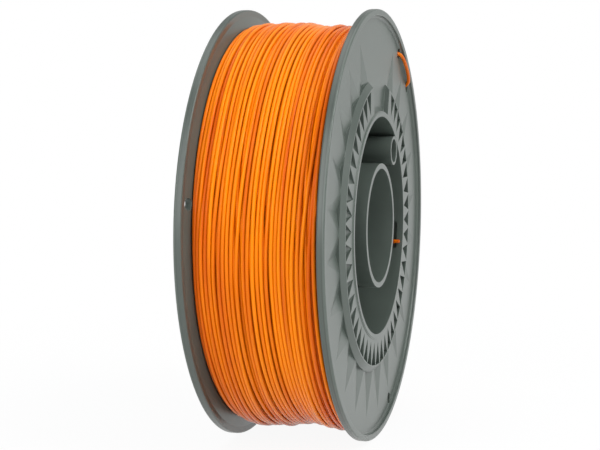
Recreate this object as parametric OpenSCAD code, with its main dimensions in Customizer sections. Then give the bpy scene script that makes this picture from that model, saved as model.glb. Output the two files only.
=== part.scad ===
// Filament spool: two relief-faced flanges on a hollow drum, a hub tube and a drive tube
// inside it, wound full of plastic filament whose end is looped through the flange.
// Frame: X is the spool's axis, Z is up, the origin is the centre of the bore, and the
// spool stands on the rims of its two flanges.

/* [Flanges] */
// Outer diameter of each flange
flange_d = 200; // [194:1:230]
// Distance between the outer faces of the two rims
rim_span = 65.4; // [56:0.2:90]
// Width of a rim along the axis
rim_w = 3.6; // [3.4:0.1:4.4]
// Radial width of the raised lip
lip_w = 3; // [2:0.1:4]
// Depth of the web's outer face below the lip
lip_h = 2; // [1.6:0.1:2.4]
// Radius of the rounded edges of the rim
rim_round = 0.7; // [0.3:0.1:0.9]
// Radius of the fillet at the foot of the lip
lip_fillet = 1.2; // [0.6:0.1:1.5]
// Thickness of the web between the drum and the rim
web_t = 3; // [2.6:0.1:4]
// Radial length over which the web's inner face tapers to the rim
web_taper = 5; // [3:0.5:8]
// Outer radius of the sloping collar round the drum's end
collar_r = 56; // [54.5:0.5:58]

/* [Sunburst relief] */
// Number of spike places round the flange
spike_places = 24; // [20:1:28]
// Number of spikes left out for the plain sector
plain_spikes = 2; // [1:1:4]
// Distance from the spikes' tips to the lip
spike_gap = 8; // [5:0.5:12]
// Radius at which neighbouring spikes meet
spike_valley_r = 67.5; // [66:0.5:72]
// Depth of the spikes' creases where neighbouring spikes meet
spike_depth = 1.5; // [1.4:0.05:1.6]
// Outer radius of the raised ring's top
boss_r = 65.7; // [64:0.1:66.2]
// Height of the raised ring above the web's outer face
boss_h = 2.3; // [1.6:0.1:2.4]
// Radial run of the raised ring's outer slope
boss_slope = 2.5; // [2.4:0.1:3]
// Width of the rim left outside the pockets
pocket_rim = 0.5; // [0.5:0.1:1.5]
// Width of the rib left between neighbouring pockets
pocket_rib = 0.6; // [0.5:0.1:1.5]
// Depth of the pockets' floors at their outer ends
pocket_depth = 3.2; // [2:0.1:3.4]
// Distance from the drum's neck to the pockets' points
pocket_gap = 1.9; // [1.7:0.1:3]
// Pockets for each spike place
pockets_per_spike = 2; // [1:1:2]

/* [Drum] */
// Inner diameter of the drum
drum_bore_d = 101.2; // [98:0.2:104]
// Wall of the drum where it passes through a flange
drum_wall = 2; // [1.6:0.1:2.4]
// Step of the drum's shoulder, which a flange seats on
shoulder_t = 1.6; // [1:0.1:2]
// How far the drum, hub and drive tube stand out past the rims
core_proud = 0.8; // [0.4:0.1:2]

/* [Filament slot] */
// Width of the slot along the axis
slot_w = 6.2; // [5:0.1:8]
// Angle that the slot spans round the drum
slot_span = 14.7; // [10:0.1:20]

/* [Hub] */
// Diameter of the spindle bore
hub_bore_d = 53; // [50:0.5:55]
// Wall of the hub tube
hub_wall = 2.4; // [1.8:0.1:3]
// Thickness of the disc that carries the hub tube in the drum
hub_web_t = 2.4; // [1.8:0.1:4]

/* [Drive tube] */
// Outer diameter of the drive tube
drive_d = 13.8; // [12:0.2:14.4]
// Wall of the drive tube
drive_wall = 1.3; // [1:0.1:2]
// Gap between the drive tube and the drum's inner wall
drive_gap = 0.1; // [0.1:0.1:0.4]

/* [Tie holes] */
// Diameter of each hole that holds the filament's end
tie_hole_d = 5.4; // [5.3:0.1:5.6]
// Distance between the two holes of the pair
tie_pair = 25.8; // [25.6:0.1:26]

/* [Filament] */
// Diameter of the filament
filament_d = 1.75; // [1.6:0.05:1.8]
// Depth of the outer layer's centre line below the flanges' edge
wind_depth = 7.8; // [6.8:0.1:12]
// How far the filament's end lies above the layer where it crosses its neighbours
over_rise = 2.15; // [2.1:0.05:2.4]
// Turns in the outer layer
wind_turns = 23; // [12:1:23]
// Gap between the outer layer and a flange
wind_side_gap = 0.6; // [0.6:0.1:2]

/* [Hidden] */
$fn = 96;

spool_grey = [0.44, 0.50, 0.47];
filament_orange = [0.95, 0.50, 0.09];

// Distances from the spool's middle plane
rim_x = rim_span / 2;
rim_in_x = rim_x - rim_w;
web_x = rim_x - lip_h;
web_in_x = web_x - web_t;
core_x = rim_x + core_proud;
// Radii
flange_r = flange_d / 2;
lip_r = flange_r - lip_w;
spike_tip_r = lip_r - spike_gap;
drum_in_r = drum_bore_d / 2;
neck_r = drum_in_r + drum_wall;
shoulder_r = neck_r + shoulder_t;
hub_in_r = hub_bore_d / 2;
hub_out_r = hub_in_r + hub_wall;
drive_r = drive_d / 2;
drive_at_r = drum_in_r - drive_r - drive_gap;
fil_r = filament_d / 2;
wind_r = flange_r - wind_depth;
over_r = wind_r + over_rise;
// The holes' centres lie a little nearer the axis than the filament's end, as the pair is drilled
// square to the web and the end bends round the axis
tie_hole_r = over_r - 0.35;
// Angles about the axis, from +Y towards +Z. The drive tube, the tie holes and the spikes
// share one datum.
datum_a = 50;
spike_pitch = 360 / spike_places;
plain_a = datum_a + 37.5;
plain_span = plain_spikes * spike_pitch;
slot_a = datum_a - 61;
tail_a = datum_a - 64.3;
tie_spacing = 120;

collar_h = core_proud + lip_h - 0.2;
relief_top = core_x + 1;
boss_in_r = neck_r + 0.25;            // inside the collar
boss_foot_r = boss_r + boss_slope;
boss_x = min(web_x + boss_h, web_x + collar_h - 0.1);
boss_low_x = web_x - spike_depth - 0.4;
first_a = plain_a + plain_span / 2 + spike_pitch / 2;
spikes = spike_places - plain_spikes;
pocket_pitch = spike_pitch / pockets_per_spike;
pocket_r = (boss_r - pocket_rim) * cos(pocket_pitch / 2);
pocket_half = pocket_r * tan(pocket_pitch / 2) - pocket_rib / 2;
pocket_point_r = neck_r + pocket_gap;
point_step = 0.3;                     // depth of a pocket at its point
foot_step = 0.2;                      // upright part of the raised ring's outer wall

// Turns local X, Y, Z into the frame's Y, Z, X, so that a shape drawn flat faces along the axis
module on_axis() {
    rotate([0, 90, 0]) rotate([0, 0, 90]) children();
}

// A ring about the axis from radius r0 to r1 and from x0 to x1
module ring(r0, r1, x0, x1) {
    on_axis() rotate_extrude() translate([r0, x0]) square([r1 - r0, x1 - x0]);
}

function arc(cx, cy, r, a0, a1, n = 8) =
    [for (i = [0:n]) let (a = a0 + (a1 - a0) * i / n) [cx + r * cos(a), cy + r * sin(a)]];

// Half section of a flange: radius, distance from the middle plane
module flange_section() {
    f = lip_fillet;
    q = rim_round;
    slope = collar_r - neck_r;
    polygon(concat(
        [[neck_r, web_in_x], [lip_r - web_taper, web_in_x], [lip_r, rim_in_x]],
        arc(flange_r - q, rim_in_x + q, q, -90, 0, 4),
        arc(flange_r - q, rim_x - q, q, 0, 90, 4),
        arc(lip_r + q / 2, rim_x - q / 2, q / 2, 90, 180, 3),
        arc(lip_r - f, web_x + f, f, 0, -90, 5),
        [for (i = [0:6]) let (u = i / 6)
            [collar_r - slope * u * 0.85, web_x + collar_h * u * u]],
        [[neck_r, web_x + collar_h]]
    ));
}

// Cutter of one spike: a V groove that deepens from its tip towards the raised ring
module spike_cutter() {
    half = spike_valley_r * sin(spike_pitch / 2);
    run = spike_tip_r - spike_valley_r * cos(spike_pitch / 2);
    r0 = boss_foot_r - 0.6;           // inside the raised ring
    w = half / run * (spike_tip_r - r0);
    d = spike_depth / run * (spike_tip_r - r0);
    polyhedron(
        points = [
            [spike_tip_r, 0, web_x], [r0, w, web_x], [r0, -w, web_x], [r0, 0, web_x - d],
            [spike_tip_r, 0, relief_top], [r0, w, relief_top], [r0, -w, relief_top]
        ],
        faces = [[0, 1, 3], [0, 3, 2], [0, 4, 5, 1], [0, 2, 6, 4], [4, 6, 5], [1, 5, 6, 2, 3]]
    );
}

// The raised ring round the drum's end, clear of the plain sector
module boss() {
    rotate([0, 0, first_a - spike_pitch / 2])
        rotate_extrude(angle = spikes * spike_pitch)
            polygon([
                [boss_in_r, boss_low_x], [boss_in_r, boss_x], [boss_r, boss_x],
                [boss_foot_r, web_x + foot_step], [boss_foot_r, boss_low_x]
            ]);
}

// Cutter of one pocket of the raised ring: a triangle that points at the axis, whose floor
// falls from its point outwards
module pocket_cutter() {
    floor_x = boss_x - pocket_depth;
    polyhedron(
        points = [
            [pocket_point_r, 0, boss_x - point_step], [pocket_r, pocket_half, floor_x],
            [pocket_r, -pocket_half, floor_x], [pocket_point_r, 0, relief_top],
            [pocket_r, pocket_half, relief_top], [pocket_r, -pocket_half, relief_top]
        ],
        faces = [[0, 2, 1], [3, 4, 5], [0, 1, 4, 3], [0, 3, 5, 2], [1, 2, 5, 4]]
    );
}

// Holes that take the filament's end: a pair at the datum, and one at each other third
module tie_holes() {
    pair_a = asin(tie_pair / 2 / tie_hole_r);
    for (a = [datum_a - pair_a, datum_a + pair_a, datum_a + tie_spacing, datum_a - tie_spacing])
        rotate([0, 0, a]) translate([tie_hole_r, 0, web_in_x - 1])
            cylinder(h = relief_top - web_in_x + 2, d = tie_hole_d);
}

module flange() {
    color(spool_grey) on_axis() difference() {
        union() {
            difference() {
                rotate_extrude() flange_section();
                for (i = [0:spikes - 1]) rotate([0, 0, first_a + i * spike_pitch]) spike_cutter();
            }
            boss();
        }
        for (i = [0:(spikes - 1) * pockets_per_spike])
            rotate([0, 0, first_a + i * pocket_pitch]) pocket_cutter();
        tie_holes();
    }
}

module right_flange() {
    flange();
}

module left_flange() {
    mirror([1, 0, 0]) flange();
}

// The wall that the filament is wound on. Its ends pass through the flanges.
module drum() {
    color(spool_grey) difference() {
        union() {
            ring(drum_in_r, neck_r, -core_x, core_x);
            ring(drum_in_r, shoulder_r, -web_in_x, web_in_x);
        }
        on_axis() rotate([0, 0, slot_a - slot_span / 2]) rotate_extrude(angle = slot_span)
            translate([drum_in_r - 2, web_x - 0.4 - slot_w])
                square([shoulder_r - drum_in_r + 4, slot_w]);
    }
}

module at_drive() {
    on_axis() rotate([0, 0, datum_a]) translate([drive_at_r, 0, 0]) children();
}

module hub_web() {
    color(spool_grey) difference() {
        ring(hub_out_r, drum_in_r, -hub_web_t / 2, hub_web_t / 2);
        at_drive() cylinder(h = 2 * hub_web_t, r = drive_r, center = true);
    }
}

module hub_tube() {
    color(spool_grey) ring(hub_in_r, hub_out_r, -core_x, core_x);
}

module drive_tube() {
    color(spool_grey) at_drive() difference() {
        cylinder(h = 2 * core_x, r = drive_r, center = true);
        cylinder(h = 2 * core_x + 2, r = drive_r - drive_wall, center = true);
    }
}

// ---- Filament ----
ring_step = 15;                       // angle between the rings of a loop
tube_sides = 6;
core_r = wind_r * cos(ring_step / 2) - fil_r - 0.13;
start_groove_w = 2.8;                 // step at the left side, where the outer layer starts
start_groove_r = core_r - 2.8;
wind_x = web_in_x - wind_side_gap - fil_r;
start_bend = 2.6;

function at(x, r, a) = [x, r * cos(a), r * sin(a)];
function smooth(u) = u * u * (3 - 2 * u);

// The loop outside the flange is an arc of this radius, through the pair of tie holes
loop_top_x = web_x + 4.6;
loop_half = tie_pair / 2 + 0.3;
loop_rise = loop_top_x - (web_x - web_t / 2);
loop_r = (loop_half * loop_half + loop_rise * loop_rise) / (2 * loop_rise);
loop_x = loop_top_x - loop_r;
loop_a = 52;                          // half angle of the arc
lead_r = 10;                          // bend that leads the end into the hole
deg = 180 / PI / over_r;              // degrees round the axis for each millimetre at over_r

// A point of the loop at an angle a from its top, and the point that lies s straight on from it
function loop_point(a, s = 0) =
    [loop_x + loop_r * cos(a) - s * sin(abs(a)), (loop_r * sin(abs(a)) + s * cos(a)) * sign(a)];
join = loop_point(loop_a, filament_d);
lead = loop_point(loop_a, 2 * filament_d);
lead_x = lead[0] - lead_r * (1 - cos(loop_a));
lead_u = lead[1] + lead_r * sin(loop_a);
lead_a = datum_a + lead_u * deg;      // where the end leaves its turn

// Route of the outer layer, as [distance along the axis, radius, angle]
cross_span = 60;
climb_span = 45;
wind_end_a = lead_a + cross_span + climb_span;
wind_steps = wind_turns * 360 / ring_step;
wind_start_a = wind_end_a + wind_steps * ring_step;
start_off = start_bend / wind_r * 180 / PI;
layer_route = concat(
    [[-wind_x, start_groove_r, wind_start_a + start_off],
     [-wind_x, start_groove_r + filament_d, wind_start_a + start_off]],
    [for (u = [22.5:22.5:67.5])
        [-wind_x, wind_r - start_bend + start_bend * sin(u),
         wind_start_a + start_off * cos(u)]],
    [for (i = [0:wind_steps])
        [-wind_x + 2 * wind_x * i / wind_steps, wind_r, wind_start_a - i * ring_step]],
    [for (i = [1:3])
        [wind_x, wind_r + (over_r - wind_r) * smooth(i / 3), wind_end_a - climb_span * i / 3]],
    [for (i = [1:5])
        [wind_x + (lead_x - wind_x) * smooth(i / 5), over_r,
         lead_a + cross_span * (1 - i / 5)]],
    [for (a = [13:13:loop_a])
        [lead_x + lead_r * (1 - cos(a)), over_r, datum_a + (lead_u - lead_r * sin(a)) * deg]],
    [[join[0], over_r, datum_a + join[1] * deg]]
);
layer_path = [for (p = layer_route) at(p[0], p[1], p[2])];

loop_route = concat(
    [join],
    [for (a = [loop_a:-8:-loop_a]) loop_point(a)],
    [loop_point(-loop_a, filament_d)]
);
loop_path = [for (p = loop_route) at(p[0], over_r, datum_a + p[1] * deg)];

// The start comes through the slot towards the axis and bends along it
tail_bend = 3;
tail_x = web_in_x - 1.2;
tail_tip_x = web_x + 1;
tail_from_r = shoulder_r - 0.05;
tail_bend_r = tail_from_r - filament_d;
tail_path = concat(
    [at(tail_x, tail_from_r, tail_a)],
    [for (u = [0:15:90])
        at(tail_x + tail_bend * (1 - cos(u)), tail_bend_r - tail_bend * sin(u), tail_a)],
    [at(tail_tip_x, tail_bend_r - tail_bend, tail_a)]
);

// Sweeps a tube along a path. The reference is a direction that the path never takes.
module tube(path, ref, sides = tube_sides) {
    last = len(path) - 1;
    points = [for (i = [0:last])
        let (d = path[min(i + 1, last)] - path[max(i - 1, 0)],
             t = d / norm(d),
             m = ref - (ref * t) * t,
             n = m / norm(m),
             b = cross(t, n))
        for (k = [0:sides - 1])
            path[i] + fil_r * (cos(360 * (k + 0.5) / sides) * n + sin(360 * (k + 0.5) / sides) * b)];
    skin = [for (i = [0:last - 1], k = [0:sides - 1])
        let (a = i * sides + k, b = i * sides + (k + 1) % sides)
        each [[a, b + sides, b], [a, a + sides, b + sides]]];
    caps = [for (k = [1:sides - 2])
        each [[0, k, k + 1], [last * sides, last * sides + k + 1, last * sides + k]]];
    polyhedron(points = points, faces = concat(skin, caps), convexity = 10);
}

// Least gap between parts of a tube that lie half a loop or more apart along it
function least_gap(path) =
    let (apart = 180 / ring_step)
    min([for (i = [0:len(path) - 1 - apart], j = [i + apart:len(path) - 1])
        norm(path[i] - path[j])]) - filament_d;
echo(least_gap_outer_layer = least_gap(layer_path));  // filament_outer_layer

// The wound layers under the outer one
module filament_core() {
    groove_x = -web_in_x + start_groove_w;
    color(filament_orange) difference() {
        ring(shoulder_r, core_r, -web_in_x + 0.1, web_in_x - 0.1);
        ring(start_groove_r, core_r + 1, -web_in_x - 1, groove_x);
    }
}

module filament_outer_layer() {
    color(filament_orange) tube(layer_path, [1, 0, 0]);
}

module filament_end_loop() {
    color(filament_orange) tube(loop_path, [0, cos(datum_a), sin(datum_a)]);
}

module filament_start_tail() {
    color(filament_orange) tube(tail_path, [0, -sin(tail_a), cos(tail_a)]);
}

right_flange();
left_flange();
drum();
hub_web();
hub_tube();
drive_tube();
filament_core();
filament_outer_layer();
filament_end_loop();
filament_start_tail();
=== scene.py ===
"""Filament spool: the looks of the moulded spool and of the filament wound on it."""

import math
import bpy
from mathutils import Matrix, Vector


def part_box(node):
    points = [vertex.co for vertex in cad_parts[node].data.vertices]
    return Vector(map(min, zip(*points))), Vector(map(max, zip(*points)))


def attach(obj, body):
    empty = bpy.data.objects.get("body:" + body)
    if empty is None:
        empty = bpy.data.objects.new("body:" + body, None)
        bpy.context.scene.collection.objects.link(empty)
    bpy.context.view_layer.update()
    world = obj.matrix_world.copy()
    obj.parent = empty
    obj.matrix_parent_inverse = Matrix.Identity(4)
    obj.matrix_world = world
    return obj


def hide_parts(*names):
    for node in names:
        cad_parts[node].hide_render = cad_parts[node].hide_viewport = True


bl_info = {
    "name": "Filament Spool",
    "version": (1, 0, 0),
    "blender": (4, 5, 0),
    "location": "View3D > Sidebar > Spool",
    "description": "Finishes a moulded spool, winds filament on it and sets a studio round it",
    "category": "Object",
}

import bpy
from mathutils import Vector, noise

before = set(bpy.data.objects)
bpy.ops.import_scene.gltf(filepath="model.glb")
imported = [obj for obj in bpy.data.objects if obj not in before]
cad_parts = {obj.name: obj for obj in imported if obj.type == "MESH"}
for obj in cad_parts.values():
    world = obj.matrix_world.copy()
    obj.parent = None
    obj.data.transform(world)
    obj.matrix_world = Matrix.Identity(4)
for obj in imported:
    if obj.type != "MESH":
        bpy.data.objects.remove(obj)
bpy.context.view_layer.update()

MM = 0.001
BODY = "root"
MOULDED_NODES = ("right_flange", "left_flange", "drum", "hub_web", "hub_tube", "drive_tube")

# Places that the frame gives, in metres: the rims' radius, the right flange's inner face, the
# outside of the drum, and the floor that the rims stand on
FLANGE_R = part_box("right_flange")[1].y
FLANGE_IN_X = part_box("right_flange")[0].x
DRUM_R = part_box("drum")[1].z
FLOOR_Z = -FLANGE_R

# Place of a rim's outer face along the axis
RIM_FACE_X = 32.7 * MM

# Direction of the drive tube and of the pair of tie holes, in degrees from +Y towards +Z
DATUM_A = 50.0


# ---------------------------------------------------------------- settings

class SpoolFinishSettings(bpy.types.PropertyGroup):
    """Colours of the two plastics."""

    plastic: bpy.props.FloatVectorProperty(
        name="Moulded plastic", description="Colour of the flanges, drum and hub",
        subtype="COLOR", default=(0.090, 0.111, 0.096), min=0, max=1)
    filament: bpy.props.FloatVectorProperty(
        name="Filament", description="Colour of the filament",
        subtype="COLOR", default=(0.90, 0.238, 0.002), min=0, max=1)
    filament_deep: bpy.props.FloatVectorProperty(
        name="Filament, deep", description="Colour of the filament's darker stretches",
        subtype="COLOR", default=(0.66, 0.108, 0.002), min=0, max=1)


class SpoolWindingSettings(bpy.types.PropertyGroup):
    """Sizes of the winding."""

    strand: bpy.props.FloatProperty(
        name="Strand", description="Diameter of the filament",
        default=1.75 * MM, subtype="DISTANCE", unit="LENGTH", precision=5)
    pitch: bpy.props.FloatProperty(
        name="Pitch", description="Distance between neighbouring turns that touch",
        default=1.77 * MM, subtype="DISTANCE", unit="LENGTH", precision=5)
    side_gap: bpy.props.FloatProperty(
        name="Side gap", description="Clearance between the winding and a flange",
        default=0.35 * MM, subtype="DISTANCE", unit="LENGTH", precision=5)
    layer_drop: bpy.props.FloatProperty(
        name="Layer drop", description="How far the layer under the outer one lies below it",
        default=1.5 * MM, subtype="DISTANCE", unit="LENGTH", precision=5)
    unevenness: bpy.props.FloatProperty(
        name="Unevenness", description="How far a turn may lie above or below its neighbours",
        default=0.58 * MM, subtype="DISTANCE", unit="LENGTH", precision=5)


class SpoolStudioSettings(bpy.types.PropertyGroup):
    """Place and lens of the camera."""

    azimuth: bpy.props.FloatProperty(
        name="Azimuth", description="Turn of the camera to the right of the front",
        default=math.radians(15.258), subtype="ANGLE")
    elevation: bpy.props.FloatProperty(
        name="Elevation", description="Height of the camera above the spool's axis, as an angle",
        default=math.radians(5.744), subtype="ANGLE")
    distance: bpy.props.FloatProperty(
        name="Distance", description="Distance of the camera from the spool's centre",
        default=0.7604, subtype="DISTANCE", unit="LENGTH")
    lens: bpy.props.FloatProperty(
        name="Lens", description="Focal length for a sensor 36 mm wide", default=96.77)


# ---------------------------------------------------------------- node helpers

def new_material(name):
    """A material whose tree holds only its shader and output."""
    material = bpy.data.materials.new(name)
    material.use_nodes = True
    nodes = material.node_tree.nodes
    return material, nodes, material.node_tree.links, nodes["Principled BSDF"]


def add_node(nodes, kind, **values):
    """A new node with some of its own values set."""
    node = nodes.new(kind)
    for key, value in values.items():
        setattr(node, key, value)
    return node


def math_node(nodes, links, operation, first, second=None):
    """The result of a Math node whose inputs are numbers or sockets."""
    node = add_node(nodes, "ShaderNodeMath", operation=operation)
    for socket, value in zip(node.inputs, (first, second)):
        if value is None:
            continue
        if isinstance(value, (int, float)):
            socket.default_value = value
        else:
            links.new(value, socket)
    return node.outputs[0]


def mapped(nodes, links, value, **ends):
    """A value brought from one range to another. The ends are from_min, from_max, to_min and to_max."""
    node = add_node(nodes, "ShaderNodeMapRange")
    for key, end in ends.items():
        node.inputs[key.replace("_", " ").title()].default_value = end
    links.new(value, node.inputs["Value"])
    return node.outputs[0]


def colour_ramp(nodes, links, value, low, high):
    """A ramp between two (position, colour) stops."""
    node = add_node(nodes, "ShaderNodeValToRGB")
    for element, (position, colour) in zip(node.color_ramp.elements, (low, high)):
        element.position = position
        element.color = (*colour, 1)
    links.new(value, node.inputs[0])
    return node.outputs[0]


def turned_into(nodes, links, under, colour, share):
    """A colour that turns into another, fixed one as a share goes from 0 to 1."""
    node = add_node(nodes, "ShaderNodeMix", data_type="RGBA")
    node.inputs["B"].default_value = (*colour, 1)
    links.new(share, node.inputs["Factor"])
    links.new(under, node.inputs["A"])
    return node.outputs["Result"]


def bumped(nodes, links, height, strength, distance, normal=None):
    """A normal bumped by a height."""
    node = add_node(nodes, "ShaderNodeBump")
    node.inputs["Strength"].default_value = strength
    node.inputs["Distance"].default_value = distance
    links.new(height, node.inputs["Height"])
    if normal is not None:
        links.new(normal, node.inputs["Normal"])
    return node.outputs[0]


def split(nodes, links, vector):
    """The X, Y and Z of a vector."""
    node = add_node(nodes, "ShaderNodeSeparateXYZ")
    links.new(vector, node.inputs[0])
    return node.outputs


def group_with_sockets(name, inputs, outputs):
    """An empty node group with its inputs and outputs."""
    group = bpy.data.node_groups.new(name, "ShaderNodeTree")
    for label, kind, default in inputs:
        socket = group.interface.new_socket(label, in_out="INPUT", socket_type=kind)
        if default is not None:
            socket.default_value = default
    for label, kind in outputs:
        group.interface.new_socket(label, in_out="OUTPUT", socket_type=kind)
    enter = group.nodes.new("NodeGroupInput")
    leave = group.nodes.new("NodeGroupOutput")
    return group, enter, leave


def surface_grain_group():
    """Fine unevenness that both plastics have: a tint, a gloss variation and a height."""
    group, enter, leave = group_with_sockets(
        "surface_grain",
        [("Vector", "NodeSocketVector", None), ("Coarse Scale", "NodeSocketFloat", 40.0),
         ("Fine Scale", "NodeSocketFloat", 900.0)],
        [("Tint", "NodeSocketFloat"), ("Gloss", "NodeSocketFloat"), ("Height", "NodeSocketFloat")])
    nodes, links = group.nodes, group.links
    coarse = add_node(nodes, "ShaderNodeTexNoise")
    coarse.inputs["Detail"].default_value = 3
    fine = add_node(nodes, "ShaderNodeTexNoise")
    fine.inputs["Detail"].default_value = 2
    for noise_node, label in ((coarse, "Coarse Scale"), (fine, "Fine Scale")):
        links.new(enter.outputs["Vector"], noise_node.inputs["Vector"])
        links.new(enter.outputs[label], noise_node.inputs["Scale"])
    both = math_node(nodes, links, "ADD", coarse.outputs[0], fine.outputs[0])
    links.new(coarse.outputs[0], leave.inputs["Tint"])
    links.new(math_node(nodes, links, "MULTIPLY", both, 0.5), leave.inputs["Gloss"])
    links.new(fine.outputs[0], leave.inputs["Height"])
    return group


def placed_grain(nodes, links, grain, place, coarse_scale, fine_scale):
    """The surface grain, placed in a material with its own scales."""
    look = add_node(nodes, "ShaderNodeGroup", node_tree=grain)
    look.inputs["Coarse Scale"].default_value = coarse_scale
    look.inputs["Fine Scale"].default_value = fine_scale
    links.new(place, look.inputs["Vector"])
    return look.outputs


# ---------------------------------------------------------------- materials

# How far the bevel rounds the mouldings' edges, which is also how wide the painted highlight along them
# is, and how many times lighter that painted highlight makes them
EDGE_BEVEL_REACH = 0.3 * MM
EDGE_HIGHLIGHT_GAIN = 2.0
# How far the bevelled normal has turned from the face's own where the painted highlight starts and
# where it is full, as cosines
HIGHLIGHT_STARTS = 0.985
HIGHLIGHT_FULL = 0.80

# The parting line: how far it lies from the rim's face, half its width, how far in from the rims'
# radius it still counts as their edge, and how dark the painted shade on the rims' edge makes the
# plastic there
PARTING_IN = 1.2 * MM
PARTING_HALF = 0.24 * MM
PARTING_DEPTH = 0.5 * MM
PAINTED_RIM_SHADE = 0.55

# Shares of that painted shade on the parting line's inner side and in the line's groove
INNER_SHADE_SHARE = 0.5
GROOVE_SHADE_SHARE = 0.5
# Height of the mouldings' grain, where the parting line's depth is 1
GRAIN_HEIGHT = 0.02

# How fast the filament's depth of colour changes along the axis and across it
BAND_SCALE = (380, 6, 6)
# Shares of those bands and of the grain's tint in it
BAND_SHARE = 0.75
TINT_SHARE = 0.25
# Places along the axis between which painted shade darkens the turns towards a flange, and by how much
FLANGE_SHADE_FROM = 20 * MM
FLANGE_SHADE_TO = 28 * MM
FLANGE_SHADE_BY = 0.2


def moulded_plastic(settings, grain):
    """Semi-gloss green-grey plastic with a painted highlight along its edges, and a parting line round
    the rims with painted shade on its inner side and in its groove.
    """
    material, nodes, links, shader = new_material("moulded_plastic")
    base = Vector(settings.plastic)
    place = add_node(nodes, "ShaderNodeTexCoord").outputs["Object"]
    look = placed_grain(nodes, links, grain, place, coarse_scale=34, fine_scale=1500)
    tint = colour_ramp(nodes, links, look["Tint"], (0.3, base * 0.93), (0.75, base * 1.06))

    # At an edge the bevelled normal turns away from the face's own; there the edge gets a painted
    # highlight
    bevel = add_node(nodes, "ShaderNodeBevel", samples=6)
    bevel.inputs["Radius"].default_value = EDGE_BEVEL_REACH
    turned = add_node(nodes, "ShaderNodeVectorMath", operation="DOT_PRODUCT")
    links.new(bevel.outputs[0], turned.inputs[0])
    links.new(add_node(nodes, "ShaderNodeNewGeometry").outputs["Normal"], turned.inputs[1])
    # Painted highlight: the colour turns lighter along the edges
    painted_edge_highlight = mapped(nodes, links, turned.outputs["Value"], from_min=HIGHLIGHT_STARTS, from_max=HIGHLIGHT_FULL)
    with_highlight = turned_into(nodes, links, tint, base * EDGE_HIGHLIGHT_GAIN, painted_edge_highlight)

    # The parting line runs round the rims' edges; painted shade darkens them on its inner side and in
    # its groove
    where = split(nodes, links, place)
    radius_sq = math_node(nodes, links, "ADD",
                          math_node(nodes, links, "MULTIPLY", where["Y"], where["Y"]),
                          math_node(nodes, links, "MULTIPLY", where["Z"], where["Z"]))
    radius = math_node(nodes, links, "SQRT", radius_sq)
    side = math_node(nodes, links, "ABSOLUTE", where["X"])
    line_x = RIM_FACE_X - PARTING_IN
    off_line = math_node(nodes, links, "ABSOLUTE",
                         math_node(nodes, links, "SUBTRACT", side, line_x))
    on_line = math_node(nodes, links, "LESS_THAN", off_line, PARTING_HALF)
    on_rim = math_node(nodes, links, "GREATER_THAN", radius, FLANGE_R - PARTING_DEPTH)
    groove = math_node(nodes, links, "MULTIPLY", on_line, on_rim)
    inner_side = math_node(nodes, links, "MULTIPLY",
                           math_node(nodes, links, "LESS_THAN", side, line_x), on_rim)
    # Painted shade on the rims' edges, beside and in the parting line
    painted_rim_shade = math_node(nodes, links, "ADD",
                     math_node(nodes, links, "MULTIPLY", inner_side, INNER_SHADE_SHARE),
                     math_node(nodes, links, "MULTIPLY", groove, GROOVE_SHADE_SHARE))
    links.new(turned_into(nodes, links, with_highlight, base * PAINTED_RIM_SHADE, painted_rim_shade),
              shader.inputs["Base Color"])

    links.new(mapped(nodes, links, look["Gloss"], to_min=0.24, to_max=0.40),
              shader.inputs["Roughness"])
    height = math_node(nodes, links, "SUBTRACT",
                       math_node(nodes, links, "MULTIPLY", look["Height"], GRAIN_HEIGHT), groove)
    links.new(bumped(nodes, links, height, strength=0.6, distance=0.2 * MM,
                     normal=bevel.outputs[0]), shader.inputs["Normal"])
    shader.inputs["Specular IOR Level"].default_value = 0.6
    return material


def extruded_filament(settings, grain):
    """Glossy orange plastic whose depth of colour changes from turn to turn, with painted shade on the
    turns next to the flanges.
    """
    material, nodes, links, shader = new_material("extruded_filament")
    place = add_node(nodes, "ShaderNodeTexCoord").outputs["Object"]
    look = placed_grain(nodes, links, grain, place, coarse_scale=24, fine_scale=700)

    # Turns differ along the axis, and hardly at all round it
    stretch = add_node(nodes, "ShaderNodeMapping")
    stretch.inputs["Scale"].default_value = BAND_SCALE
    links.new(place, stretch.inputs["Vector"])
    bands = add_node(nodes, "ShaderNodeTexNoise")
    bands.inputs["Scale"].default_value = 1
    bands.inputs["Detail"].default_value = 1
    links.new(stretch.outputs[0], bands.inputs["Vector"])
    tone_and_shade = math_node(nodes, links, "ADD",
                      math_node(nodes, links, "MULTIPLY", bands.outputs[0], BAND_SHARE),
                      math_node(nodes, links, "MULTIPLY", look["Tint"], TINT_SHARE))

    # Painted shade: turns next to the flanges are darkened, standing in for the shade the flanges cast
    side = math_node(nodes, links, "ABSOLUTE", split(nodes, links, place)["X"])
    painted_flange_shade = mapped(nodes, links, side, from_min=FLANGE_SHADE_FROM, from_max=FLANGE_SHADE_TO, to_max=FLANGE_SHADE_BY)
    tone_and_shade = math_node(nodes, links, "SUBTRACT", tone_and_shade, painted_flange_shade)
    links.new(colour_ramp(nodes, links, tone_and_shade, (0.30, settings.filament_deep),
                          (0.57, settings.filament)), shader.inputs["Base Color"])

    links.new(mapped(nodes, links, look["Gloss"], to_min=0.17, to_max=0.28),
              shader.inputs["Roughness"])
    links.new(bumped(nodes, links, look["Height"], strength=0.25, distance=0.02 * MM),
              shader.inputs["Normal"])
    shader.inputs["Specular IOR Level"].default_value = 0.15
    return material


# Distances from the spool's centre between which the floor turns pure white, and how white it
# already is at the nearer one, where it keeps the shadow
SHADOW_NEAR = 0.12
SHADOW_FAR = 0.42
WHITE_NEAR = 0.93


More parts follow.
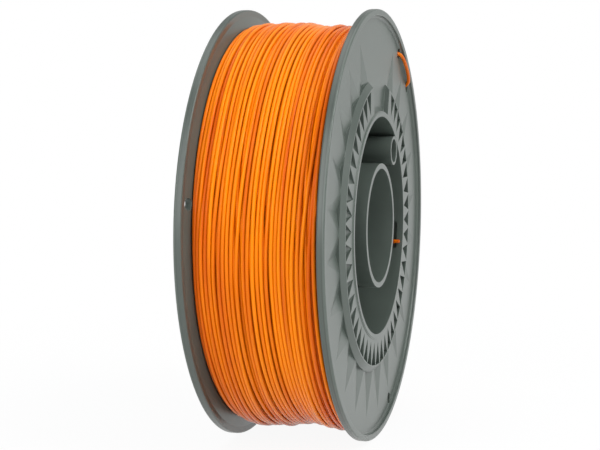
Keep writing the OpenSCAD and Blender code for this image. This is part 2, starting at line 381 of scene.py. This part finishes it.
def paper_floor():
    """White floor that turns pure white away from the spool, and keeps a soft shadow near it."""
    material, nodes, links, shader = new_material("paper_floor")
    shader.inputs["Base Color"].default_value = (0.86, 0.86, 0.86, 1)
    shader.inputs["Roughness"].default_value = 0.9
    shader.inputs["Specular IOR Level"].default_value = 0.1
    glow = add_node(nodes, "ShaderNodeEmission")
    glow.inputs["Color"].default_value = (1, 1, 1, 1)
    glow.inputs["Strength"].default_value = 1.0

    away = add_node(nodes, "ShaderNodeVectorMath", operation="LENGTH")
    links.new(add_node(nodes, "ShaderNodeTexCoord").outputs["Object"], away.inputs[0])
    white = mapped(nodes, links, away.outputs["Value"], from_min=SHADOW_NEAR,
                   from_max=SHADOW_FAR, to_min=WHITE_NEAR, to_max=1.0)

    # Only what the camera, gloss and glass see directly is white: the light on the spool stays
    seen = add_node(nodes, "ShaderNodeLightPath").outputs
    direct = math_node(nodes, links, "ADD", seen["Is Camera Ray"],
                       math_node(nodes, links, "ADD", seen["Is Glossy Ray"],
                                 seen["Is Transmission Ray"]))
    share = math_node(nodes, links, "MULTIPLY",
                      math_node(nodes, links, "MINIMUM", direct, 1.0), white)
    mix = add_node(nodes, "ShaderNodeMixShader")
    links.new(share, mix.inputs[0])
    links.new(shader.outputs[0], mix.inputs[1])
    links.new(glow.outputs[0], mix.inputs[2])
    links.new(mix.outputs[0], nodes["Material Output"].inputs["Surface"])
    return material


def finishes():
    """The two plastics, made once and then found by name."""
    settings = bpy.context.scene.spool_finish
    grain = bpy.data.node_groups.get("surface_grain") or surface_grain_group()
    plastic = bpy.data.materials.get("moulded_plastic") or moulded_plastic(settings, grain)
    filament = bpy.data.materials.get("extruded_filament") or extruded_filament(settings, grain)
    return plastic, filament


# ---------------------------------------------------------------- shape helpers

# Angles between faces up to which the strand and the core are shaded smooth
STRAND_SMOOTH_A = math.radians(60)
CORE_SMOOTH_A = math.radians(50)


def wear(piece, material):
    """Gives a piece its one material."""
    piece.data.materials.clear()
    piece.data.materials.append(material)


def on_ring(x, radius, angle):
    """A point at a distance x along the axis and an angle in degrees from +Y towards +Z."""
    turn = math.radians(angle)
    return Vector((x, radius * math.cos(turn), radius * math.sin(turn)))


def smooth_step(share):
    """A share from 0 to 1 that leaves 0 and reaches 1 gently."""
    share = min(max(share, 0.0), 1.0)
    return share * share * (3 - 2 * share)


def between(stations, x):
    """Reads a value at x from (x, value) stations, straight between them."""
    if x <= stations[0][0]:
        return stations[0][1]
    for (x0, v0), (x1, v1) in zip(stations, stations[1:]):
        if x <= x1:
            return v0 + (v1 - v0) * (x - x0) / (x1 - x0)
    return stations[-1][1]


def line(name, points, closed=False):
    """A curve object of straight pieces along points."""
    curve = bpy.data.curves.new(name, "CURVE")
    curve.dimensions = "3D"
    spline = curve.splines.new("POLY")
    spline.points.add(len(points) - 1)
    for target, point in zip(spline.points, points):
        target.co = (*point, 1)
    spline.use_cyclic_u = closed
    piece = bpy.data.objects.new(name, curve)
    bpy.context.collection.objects.link(piece)
    return piece


def as_mesh(piece):
    """Turns a curve object into a mesh, and leaves it alone selected and active."""
    bpy.ops.object.select_all(action="DESELECT")
    piece.select_set(True)
    bpy.context.view_layer.objects.active = piece
    bpy.ops.object.convert(target="MESH")
    return bpy.context.view_layer.objects.active


def strand(name, points, diameter, rings, tip=()):
    """A strand of filament along points, as a closed smooth mesh. Its last points take the
    shares of its radius that tip gives."""
    piece = line(name, points)
    if tip:
        for point, share in zip(piece.data.splines[0].points[-len(tip):], tip):
            point.radius = share
    piece.data.bevel_depth = diameter / 2
    piece.data.bevel_resolution = rings
    piece.data.use_fill_caps = True
    piece = as_mesh(piece)
    bpy.ops.object.shade_smooth_by_angle(angle=STRAND_SMOOTH_A)
    return piece


# ---------------------------------------------------------------- the winding

# Outer surface of the winding at its top and its bottom, as (place along the axis, radius) in mm
TOP_PROFILE = ((-27.5, 92.2), (-24, 93.2), (-18, 93.5), (-9, 93.6), (0, 93.9), (8, 92.3),
               (16, 92.6), (27, 92.0))
LOW_PROFILE = ((-27.5, 91.4), (-24, 93.8), (-18, 95.2), (-9, 94.8), (0, 94.6), (7, 93.4),
               (14, 94.6), (22.8, 96.2), (27, 96.8))
# Gaps between groups of turns, and turns that stand proud, as (place along the axis, size) in mm
GAPS = ((-16.2, 0.7), (-8.7, 0.5), (-6.6, 1.3), (-1.4, 0.6), (5.2, 0.6), (16.6, 0.7),
        (21.7, 1.6), (25.2, 0.7))
PROUD = ((-14.3, 0.35), (-10.6, 0.3), (-3.6, 0.4), (0.9, 0.45), (11.9, 0.3), (18.3, 0.5))
PROUD_REACH = 0.7

# Where the turns of one layer cross those of the next, over which angle, in degrees, and how far
# they rise there, in mm
CROSSING_A = 171.0
CROSSING_SPAN = 46.0
CROSSING_RISE = 0.22

# How far the turns sway along the axis, in mm, and how far from a flange they come to do so
SWAY = 0.35
SWAY_EDGE = 3 * MM
# How much their drift changes round the axis, and for each mm along it in height and in sway,
# with the place in the noise where the height's starts
DRIFT_ROUND = 1.3
HEIGHT_RATE = 0.55
HEIGHT_START = 40
SWAY_RATE = 0.05

# Angles from the end of the last turn to the first hole, and over which one layer climbs to the
# next, with the step between points there, in degrees
END_CLIMB = 105.0
CLIMB_TURN = 120.0
CLIMB_STEP = 3

# Points in each turn of the lower and of the outer layer
LOWER_STEPS = 96
OUTER_STEPS = 120
# How much deeper the lower layer starts, over its first turn
START_DEPTH = 0.8 * MM


def drift(along, angle):
    """A value from -1 to 1 that changes slowly along the axis and round it."""
    turn = math.radians(angle)
    return noise.noise(Vector((along, math.cos(turn) * DRIFT_ROUND, math.sin(turn) * DRIFT_ROUND)))


def winding_surface(x, angle):
    """Radius of the winding's outer surface, in metres."""
    place = x / MM
    upper = between(TOP_PROFILE, place)
    lower = between(LOW_PROFILE, place)
    share = (1 - math.sin(math.radians(angle))) / 2
    return (upper + (lower - upper) * share) * MM


def turn_places(settings, with_gaps):
    """Places of the turns along the axis, from left to right, in metres."""
    end = FLANGE_IN_X - settings.side_gap - settings.strand / 2
    places = [-end]
    while True:
        step = settings.pitch
        if with_gaps:
            step += sum(width * MM for centre, width in GAPS
                        if places[-1] < centre * MM <= places[-1] + settings.pitch)
        if places[-1] + step > end:
            break
        places.append(places[-1] + step)
    spare = end - places[-1]
    return [x + spare * i / (len(places) - 1) for i, x in enumerate(places)]


def turn_radius(settings, x, angle, drop):
    """Radius of the strand's middle line at a place, with the unevenness of its turns."""
    rise = drift(x / MM * HEIGHT_RATE + HEIGHT_START, angle) * settings.unevenness * 2
    proud = sum(height * MM * math.exp(-((x / MM - centre) / PROUD_REACH) ** 2)
                for centre, height in PROUD)
    above = 1 - min(drop / settings.layer_drop, 1)
    return winding_surface(x, angle) - settings.strand / 2 - drop + rise + proud * above


def winding_points(settings, places, end_a, drop_at, steps):
    """One layer, which ends at an angle: each turn lies square to the axis, and moves on by one
    place at the crossing. drop_at gives the layer's depth after a number of turns."""
    last = len(places) - 1
    start_a = end_a + len(places) * 360
    count = len(places) * steps
    edge_x = max(abs(places[0]), abs(places[-1]))
    first_whole = math.floor((CROSSING_A + CROSSING_SPAN / 2 - start_a) / 360)
    points = []
    for i in range(count + 1):
        angle = start_a - 360 * i / steps
        turned = (CROSSING_A + CROSSING_SPAN / 2 - angle) / 360
        whole = math.floor(turned)
        crossed = (turned - whole) * 360 / CROSSING_SPAN
        index = min(max(whole - first_whole - 1 + smooth_step(crossed), 0), last)
        low = min(int(index), last - 1)
        x = places[low] + (places[low + 1] - places[low]) * (index - low)
        lift = math.sin(math.pi * min(crossed, 1)) * CROSSING_RISE * MM
        sway = drift(x / MM * SWAY_RATE, angle) * SWAY * MM
        inside = 1 - smooth_step((abs(x) - (edge_x - SWAY_EDGE)) / SWAY_EDGE)
        radius = turn_radius(settings, x, angle, drop_at(i / steps)) + lift
        points.append(on_ring(x + sway * inside, radius, angle))
    return points


# Route of the end near the pair of tie holes, as (place along the axis, distance round it from
# the middle of the pair) in mm: out through the first hole, along the flange, back in through
# the second
END_ROUTE = ((25.3, 19.5), (26.0, 16.6), (27.0, 14.7), (28.2, 13.7), (29.6, 13.2), (30.9, 12.3),
             (31.7, 10.6), (32.2, 8.0), (32.5, 5.0), (32.65, 1.0), (32.65, -3.0), (32.5, -6.6),
             (32.1, -9.2), (31.4, -10.7), (30.4, -11.9), (29.0, -12.7), (26.9, -13.1))
# Radius at which the end lies over the outer layer
OVER_R = 94.35 * MM
# Points from the last turn to the route, the share of the way over which the end rises on to its
# neighbours, and the share after which it moves along the axis
LEAD_STEPS = 32
LEAD_RISE = 0.5
LEAD_SHIFT = 0.35


def curved(route, steps=5):
    """Points on the smooth curve through a route (Catmull-Rom)."""
    ends = [route[0] * 2 - route[1]] + list(route) + [route[-1] * 2 - route[-2]]
    points = []
    for before, start, end, after in zip(ends, ends[1:], ends[2:], ends[3:]):
        for i in range(steps):
            u = i / steps
            points.append(0.5 * (start * 2 + (end - before) * u
                                 + (before * 2 - start * 5 + end * 4 - after) * u * u
                                 + (start * 3 - before - end * 3 + after) * u ** 3))
    return points + [route[-1]]


def over_place(x, u):
    """A point over the outer layer, from its place along the axis and its distance round it."""
    return on_ring(x * MM, OVER_R, DATUM_A + math.degrees(u * MM / OVER_R))


def end_lead_a():
    """Angle at which the end's route to the holes starts, in degrees."""
    return DATUM_A + math.degrees(END_ROUTE[0][1] * MM / OVER_R)


def end_points(wind_x, wind_r, wind_a):
    """From the last turn over its neighbours to the first hole, and out and back through the pair."""
    lead_x, lead_a = END_ROUTE[0][0] * MM, end_lead_a()
    points = []
    for i in range(1, LEAD_STEPS):
        share = i / LEAD_STEPS
        rise = smooth_step(share / LEAD_RISE)
        shift = smooth_step((share - LEAD_SHIFT) / (1 - LEAD_SHIFT)) * share
        points.append(on_ring(wind_x + (lead_x - wind_x) * shift,
                              wind_r + (OVER_R - wind_r) * rise,
                              wind_a + (lead_a - wind_a) * share))
    return points + curved([over_place(x, u) for x, u in END_ROUTE])


def strand_points(settings):
    """The whole strand: the lower layer from right to left, the climb at the back, the outer
    layer from left to right, and the end through the tie holes."""
    places = turn_places(settings, True)
    end_a = end_lead_a() + END_CLIMB
    turn_back_a = end_a + len(places) * 360 + CLIMB_TURN
    drop = settings.layer_drop
    points = winding_points(
        settings, turn_places(settings, False)[::-1], turn_back_a,
        lambda turns: drop + START_DEPTH * (1 - smooth_step(turns)), LOWER_STEPS)
    steps = int(CLIMB_TURN / CLIMB_STEP)
    for i in range(1, steps):
        angle = turn_back_a - CLIMB_TURN * i / steps
        tone_and_shade = drop * (1 - smooth_step(i / steps))
        points.append(on_ring(places[0], turn_radius(settings, places[0], angle, tone_and_shade), angle))
    points += winding_points(settings, places, end_a, lambda turns: 0.0, OUTER_STEPS)
    final = points[-1]
    return points + end_points(final.x, math.hypot(final.y, final.z), end_a)


# The core: its clearance beside a flange, the radius of its surface, the height of a turn's ridge
# on it, the points to each ridge and the steps round the axis
CORE_GAP = 0.15 * MM
CORE_R = 89.3 * MM
RIDGE_HEIGHT = 0.32 * MM
RIDGE_STEPS = 6
CORE_STEPS = 96
MERGE_WITHIN = 1e-6


def wind_core(settings):
    """The wound layers below, as one lathed body with a ridge for each turn at its surface."""
    end = FLANGE_IN_X - CORE_GAP
    turns = int(2 * end / settings.pitch)
    profile = [Vector((-end, 0, DRUM_R))]
    for i in range(turns * RIDGE_STEPS + 1):
        share = i / (turns * RIDGE_STEPS)
        ridge = RIDGE_HEIGHT * abs(math.sin(math.pi * turns * share))
        profile.append(Vector((-end + 2 * end * share, 0, CORE_R + ridge)))
    profile.append(Vector((end, 0, DRUM_R)))
    piece = as_mesh(line("filament_wound_core", profile, closed=True))
    lathe = piece.modifiers.new("lathe", "SCREW")
    lathe.axis = "X"
    lathe.steps = lathe.render_steps = CORE_STEPS
    lathe.use_merge_vertices = True
    lathe.merge_threshold = MERGE_WITHIN
    bpy.ops.object.modifier_apply(modifier=lathe.name)
    bpy.ops.object.mode_set(mode="EDIT")
    bpy.ops.mesh.select_all(action="SELECT")
    bpy.ops.mesh.remove_doubles(threshold=MERGE_WITHIN)
    bpy.ops.mesh.normals_make_consistent(inside=False)
    bpy.ops.object.mode_set(mode="OBJECT")
    bpy.ops.object.shade_smooth_by_angle(angle=CORE_SMOOTH_A)
    return piece


# The tail: its direction in degrees, its distance from the flange's inner face where it comes
# through the drum, how far inside the drum's surface it starts and goes straight, the radius of
# its bend, and the place of its tip along the axis
TAIL_A = DATUM_A - 64.8
TAIL_FROM_FLANGE = 1.2 * MM
TAIL_SUNK = 0.05 * MM
TAIL_STRAIGHT = 1.75 * MM
TAIL_BEND = 3 * MM
TAIL_TIP_X = 32.4 * MM
# Steps in the bend's quarter turn, in degrees
TAIL_STEP = 9
# Its rounded tip: distances back from its end in mm, and shares of the radius there
TAIL_TIP_BACK = (0.6, 0.3, 0.1, 0.0)
TAIL_TIP_SHARE = (1.0, 0.88, 0.6, 0.25)


def tail_points():
    """The filament's start: in through the slot towards the axis, then along it."""
    x = FLANGE_IN_X - TAIL_FROM_FLANGE
    outer = DRUM_R - TAIL_SUNK
    inner = outer - TAIL_STRAIGHT
    points = [on_ring(x, outer, TAIL_A)]
    for degrees in range(0, 90 + 1, TAIL_STEP):
        turn = math.radians(degrees)
        points.append(on_ring(x + TAIL_BEND * (1 - math.cos(turn)),
                              inner - TAIL_BEND * math.sin(turn), TAIL_A))
    for back in TAIL_TIP_BACK:
        points.append(on_ring(TAIL_TIP_X - back * MM, inner - TAIL_BEND, TAIL_A))
    return points


# ---------------------------------------------------------------- the studio

# Softboxes: name, place, what each is aimed at, width and height, all in metres, and watts
SOFTBOXES = (
    ("front_softbox", (-0.15, -1.15, 0.62), (0, 0, 0.05), (0.8, 1.3), 8.8),
    ("side_softbox", (0.95, -0.30, 0.95), (0, 0, 0), (0.7, 0.9), 10.5),
    ("top_softbox", (-0.2, 0.25, 1.3), (0, 0, 0), (1.2, 1.0), 5),
)
FLOOR_SIZE = 8
CAMERA_AIM = Vector((-5.1, -1.5, -0.7)) * MM

# Level and colour of the room's own light
ROOM_LEVEL = 0.52
ROOM_COLOUR = (0.95, 0.97, 1.0, 1)
# Heights, as sines, between which what the gloss sees dims from white, and its level overhead
DIMS_FROM = 0.15
DIMS_TO = 0.65
OVERHEAD_LEVEL = 0.3


def softbox(name, place, target, size, power):
    """A rectangular lamp at a place, aimed at a target."""
    lamp = bpy.data.lights.new(name, "AREA")
    lamp.shape = "RECTANGLE"
    lamp.size, lamp.size_y = size
    lamp.energy = power
    holder = bpy.data.objects.new(name, lamp)
    bpy.context.collection.objects.link(holder)
    holder.location = place
    holder.rotation_euler = (Vector(target) - Vector(place)).to_track_quat("-Z", "Y").to_euler()


def add_camera(scene, settings):
    """The camera, turned and raised about the spool."""
    camera = bpy.data.objects.new("camera", bpy.data.cameras.new("camera"))
    bpy.context.collection.objects.link(camera)
    flat = settings.distance * math.cos(settings.elevation)
    camera.location = (flat * math.sin(settings.azimuth), -flat * math.cos(settings.azimuth),
                       settings.distance * math.sin(settings.elevation))
    camera.rotation_euler = (CAMERA_AIM - camera.location).to_track_quat("-Z", "Y").to_euler()
    camera.data.sensor_width = 36
    camera.data.sensor_fit = "HORIZONTAL"
    camera.data.lens = settings.lens
    camera.data.clip_start = 0.01
    scene.camera = camera


def mixed_backgrounds(nodes, links, share, first, second):
    """A mix of two world shaders."""
    mix = add_node(nodes, "ShaderNodeMixShader")
    links.new(share, mix.inputs[0])
    links.new(first, mix.inputs[1])
    links.new(second, mix.inputs[2])
    return mix.outputs[0]


def set_world(scene):
    """A pale room that lights the spool, shows white in its gloss and is white to the camera."""
    world = scene.world or bpy.data.worlds.new("studio_world")
    scene.world = world
    world.use_nodes = True
    nodes, links = world.node_tree.nodes, world.node_tree.links
    nodes.clear()
    seen = add_node(nodes, "ShaderNodeLightPath").outputs
    room = add_node(nodes, "ShaderNodeBackground")
    room.inputs["Color"].default_value = ROOM_COLOUR
    room.inputs["Strength"].default_value = ROOM_LEVEL
    white = add_node(nodes, "ShaderNodeBackground")
    white.inputs["Color"].default_value = (1, 1, 1, 1)
    white.inputs["Strength"].default_value = 1.0

    # What the gloss sees is white round the horizon and dims overhead
    around = add_node(nodes, "ShaderNodeBackground")
    upward = split(nodes, links, add_node(nodes, "ShaderNodeTexCoord").outputs["Generated"])["Z"]
    level = mapped(nodes, links, upward, from_min=DIMS_FROM, from_max=DIMS_TO,
                   to_min=1.0, to_max=OVERHEAD_LEVEL)
    links.new(level, around.inputs["Strength"])
    gloss = math_node(nodes, links, "MAXIMUM", seen["Is Glossy Ray"], seen["Is Transmission Ray"])
    lit = mixed_backgrounds(nodes, links, gloss, room.outputs[0], around.outputs[0])
    shown = mixed_backgrounds(nodes, links, seen["Is Camera Ray"], lit, white.outputs[0])
    links.new(shown, add_node(nodes, "ShaderNodeOutputWorld").inputs["Surface"])


# ---------------------------------------------------------------- operators

class SPOOL_OT_finish_mouldings(bpy.types.Operator):
    """Gives the moulded pieces their plastic"""

    bl_idname = "spool.finish_mouldings"
    bl_label = "Finish the mouldings"

    def execute(self, context):
        plastic = finishes()[0]
        for name in MOULDED_NODES:
            wear(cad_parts[name], plastic)
        return {"FINISHED"}


class SPOOL_OT_wind_layers(bpy.types.Operator):
    """Winds the core, and on it the strand with its two layers and its looped end"""

    bl_idname = "spool.wind_layers"
    bl_label = "Wind the filament"

    def execute(self, context):
        settings = context.scene.spool_winding
        filament = finishes()[1]
        core = wind_core(settings)
        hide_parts("filament_core")
        outer = strand("filament_outer_turns", strand_points(settings), settings.strand, rings=2)
        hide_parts("filament_outer_layer", "filament_end_loop")
        for piece in (core, outer):
            wear(piece, filament)
            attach(piece, BODY)
        return {"FINISHED"}


class SPOOL_OT_lead_start_tail(bpy.types.Operator):
    """Leads the filament's start through the slot of the drum"""

    bl_idname = "spool.lead_start_tail"
    bl_label = "Lead the filament's start"

    def execute(self, context):
        settings = context.scene.spool_winding
        tail = strand("filament_tail", tail_points(), settings.strand, rings=4,
                      tip=TAIL_TIP_SHARE)
        wear(tail, finishes()[1])
        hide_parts("filament_start_tail")
        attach(tail, BODY)
        return {"FINISHED"}


class SPOOL_OT_set_studio(bpy.types.Operator):
    """Sets the floor, the camera, the lamps and the room"""

    bl_idname = "spool.set_studio"
    bl_label = "Set the studio"

    def execute(self, context):
        scene = context.scene
        bpy.ops.mesh.primitive_plane_add(size=FLOOR_SIZE, location=(0, 0, FLOOR_Z))
        floor = context.active_object
        floor.name = "floor"
        floor.data.materials.append(paper_floor())
        add_camera(scene, scene.spool_studio)
        for lamp in SOFTBOXES:
            softbox(*lamp)
        set_world(scene)
        scene.view_settings.view_transform = "Standard"
        return {"FINISHED"}


class SPOOL_PT_panel(bpy.types.Panel):
    """Lists the steps that dress the spool"""

    bl_idname = "SPOOL_PT_panel"
    bl_label = "Filament Spool"
    bl_space_type = "VIEW_3D"
    bl_region_type = "UI"
    bl_category = "Spool"

    def draw(self, context):
        scene = context.scene
        for settings in (scene.spool_finish, scene.spool_winding, scene.spool_studio):
            box = self.layout.box()
            for name in settings.bl_rna.properties.keys():
                if name not in ("rna_type", "name"):
                    box.prop(settings, name)
        for operator in OPERATORS:
            self.layout.operator(operator.bl_idname)


OPERATORS = (
    SPOOL_OT_finish_mouldings,
    SPOOL_OT_wind_layers,
    SPOOL_OT_lead_start_tail,
    SPOOL_OT_set_studio,
)
SETTINGS = (SpoolFinishSettings, SpoolWindingSettings, SpoolStudioSettings)
CLASSES = SETTINGS + OPERATORS + (SPOOL_PT_panel,)


def register():
    for cls in CLASSES:
        bpy.utils.register_class(cls)
    bpy.types.Scene.spool_finish = bpy.props.PointerProperty(type=SpoolFinishSettings)
    bpy.types.Scene.spool_winding = bpy.props.PointerProperty(type=SpoolWindingSettings)
    bpy.types.Scene.spool_studio = bpy.props.PointerProperty(type=SpoolStudioSettings)


def unregister():
    del bpy.types.Scene.spool_studio
    del bpy.types.Scene.spool_winding
    del bpy.types.Scene.spool_finish
    for cls in reversed(CLASSES):
        bpy.utils.unregister_class(cls)


def main():
    register()
    bpy.ops.spool.finish_mouldings()
    bpy.ops.spool.wind_layers()
    bpy.ops.spool.lead_start_tail()
    bpy.ops.spool.set_studio()


if __name__ == "__main__":
    main()
